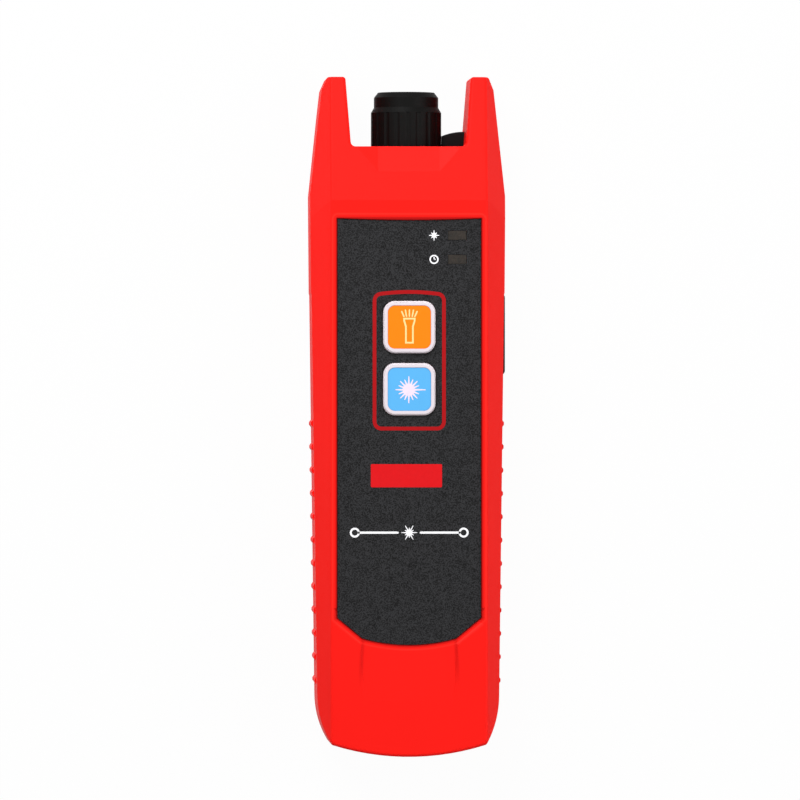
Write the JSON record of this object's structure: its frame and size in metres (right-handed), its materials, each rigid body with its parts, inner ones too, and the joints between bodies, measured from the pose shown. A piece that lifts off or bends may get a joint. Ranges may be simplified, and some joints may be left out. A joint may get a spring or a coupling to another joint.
{
  "type": "visual fault locator",
  "caption": "Handheld red fibre tester with a black overlay, torch and laser keys, and a screw-capped 2.5 mm ferrule port between two horns.",
  "frame": {"origin": "centre of the back's footprint, on the surface that the back lies on", "axes": "+X to the right of the keys, +Y along the case towards the port, +Z out of the front face"},
  "size_m": [0.049, 0.17, 0.03],
  "materials": {
    "red_plastic": "satin moulded",
    "overlay_black": "fine grained film",
    "key_orange": "satin, pale border",
    "key_blue": "satin, pale border",
    "cap_plastic": "satin",
    "black_rubber": "matt",
    "screw_steel": "zinc plated",
    "switch_plastic": "matt",
    "switch_steel": "plated",
    "mat_silicone": "translucent grey",
    "smoked_window": "smoked",
    "led_white": "moulded",
    "board_green": "solder mask",
    "nickel": "nickel plated",
    "ceramic_white": "polished zirconia",
    "barrel_brass": "turned",
    "clear_lens": "clear",
    "cell_sleeve": "shrink sleeve",
    "lead_red": "insulated"
  },
  "bodies": {
    "housing": {"front_shell": "red_plastic", "rear_shell": "red_plastic", "case_seal": "black_rubber", "case_screws": "screw_steel", "overlay": "overlay_black", "torch_switch": "switch_steel", "laser_switch": "switch_steel", "keypad_mat": "mat_silicone", "light_guides": "smoked_window", "status_leds": "led_white", "main_board": "board_green", "board_screws": "screw_steel", "board_chips": "switch_plastic", "power_socket": "switch_steel", "port_neck": "nickel", "ferrule_sleeve": "ceramic_white", "laser_module": "barrel_brass", "focus_lens": "clear_lens", "laser_diode": "nickel", "cap_seal": "black_rubber", "torch_lamp": "clear_lens", "cell_left": "cell_sleeve", "cell_right": "cell_sleeve", "bridge_contact": "nickel", "supply_contacts": "nickel", "door_gasket": "black_rubber", "battery_leads": "lead_red", "laser_leads": "lead_red"},
    "torch_key": {"torch_keycap": "key_orange", "torch_plunger": "switch_plastic"},
    "laser_key": {"laser_keycap": "key_blue", "laser_plunger": "switch_plastic"},
    "tether": {"cap_tether": "black_rubber"},
    "cap": {"dust_cap": "cap_plastic"},
    "side_cover": {"port_cover": "black_rubber"},
    "door": {"battery_door": "red_plastic", "door_screws": "screw_steel"}
  },
  "joints": [
    {"name": "torch_press", "type": "slide", "parent": "housing", "child": "torch_key", "axis": [0, 0, -1], "range_m": [0, 0.0006], "stiffness_N_per_m": 800},
    {"name": "laser_press", "type": "slide", "parent": "housing", "child": "laser_key", "axis": [0, 0, -1], "range_m": [0, 0.0006], "stiffness_N_per_m": 800},
    {"name": "cap_lift", "type": "slide", "parent": "housing", "child": "tether", "axis": [0, 1, 0], "range_m": [0, 0.01401], "deforming": ["cap_tether"]},
    {"name": "cap_turn", "type": "hinge", "parent": "tether", "child": "cap", "pos_m": [0, 0.07, 0.012], "axis": [0, 1, 0], "range_deg": [0, 1440]},
    {"name": "cover_swing", "type": "hinge", "parent": "housing", "child": "side_cover", "pos_m": [0.0235, 0.0298, 0.0173], "axis": [0, 0, 1], "range_deg": [0, 100]},
    {"name": "door_lift", "type": "slide", "parent": "housing", "child": "door", "axis": [0, 0, -1], "range_m": [0, 0.015]}
  ],
  "couplings": [
    {"joint": "cap_lift", "follows": "cap_turn", "m_per_rad": 0.00055704}
  ]
}
